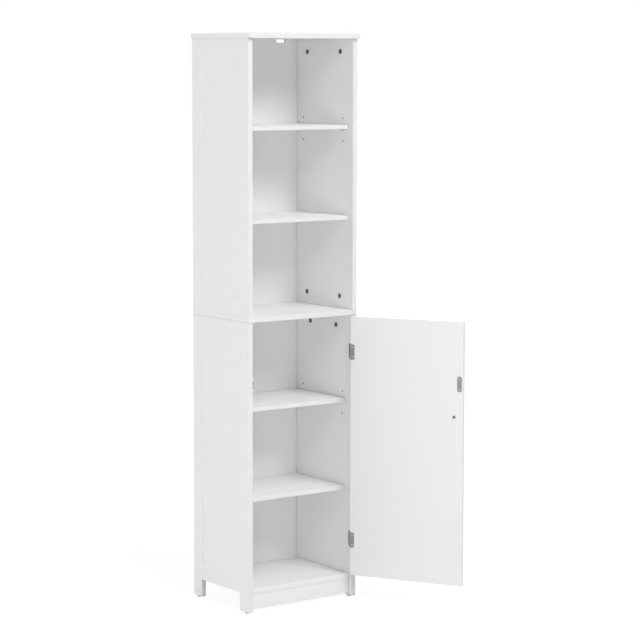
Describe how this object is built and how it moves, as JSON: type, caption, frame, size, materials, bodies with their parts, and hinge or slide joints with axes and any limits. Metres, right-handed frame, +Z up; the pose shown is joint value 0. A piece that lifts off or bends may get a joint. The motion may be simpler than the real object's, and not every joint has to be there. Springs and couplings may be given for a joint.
{
  "type": "tall cabinet",
  "caption": "Tall narrow free-standing cabinet: open shelf compartments above, a cupboard with a side-hung framed door below, on low feet cut from the side panels.",
  "frame": {"origin": "on the floor, under the middle of the carcass", "axes": "+Z up; -Y to the front, where the door is; +X to the right of someone facing the front"},
  "size_m": [0.5691, 0.6182, 1.7],
  "materials": {
    "white_board": "fibreboard, painted white, satin",
    "back_board": "thin fibreboard, printed white, matt",
    "dowel_wood": "raw beech",
    "steel": "zinc plated, satin",
    "knob_metal": "satin nickel",
    "dark_zinc": "grey zinc casting",
    "magnet": "sintered ferrite, matt",
    "white_plastic": "moulded, fine grain",
    "glide_plastic": "moulded, matt"
  },
  "bodies": {
    "carcass": {"top_board": "white_board", "upper_side_left": "white_board", "upper_side_right": "white_board", "upper_back_panel": "back_board", "upper_adjustable_shelf": "white_board", "upper_fixed_shelf": "white_board", "middle_board": "white_board", "lower_side_left": "white_board", "lower_side_right": "white_board", "lower_back_panel": "back_board", "lower_adjustable_shelf": "white_board", "lower_fixed_shelf": "white_board", "bottom_board": "white_board", "plinth": "white_board", "top_hinge_frame_leaf": "steel", "top_hinge_pin": "steel", "bottom_hinge_frame_leaf": "steel", "bottom_hinge_pin": "steel", "hinge_frame_screws": "steel", "catch_housing": "white_plastic", "catch_magnet": "magnet", "catch_pole_inner": "steel", "catch_pole_outer": "steel", "catch_screws": "steel", "shelf_pins": "steel", "cam_locks": "dark_zinc", "cam_bolts": "steel", "dowels": "dowel_wood", "foot_glide_front_left": "glide_plastic", "foot_glide_front_right": "glide_plastic", "foot_glide_back_left": "glide_plastic", "foot_glide_back_right": "glide_plastic"},
    "door": {"door": "white_board", "door_knob": "knob_metal", "knob_screw": "dark_zinc", "strike_plate": "steel", "strike_screws": "steel", "top_hinge_door_leaf": "steel", "bottom_hinge_door_leaf": "steel", "hinge_door_screws": "steel"}
  },
  "joints": [
    {"name": "door_hinge", "type": "hinge", "parent": "carcass", "child": "door", "pos_m": [0.1798, -0.1505, 0], "axis": [0, 0, 1], "range_deg": [-120, 55]}
  ]
}
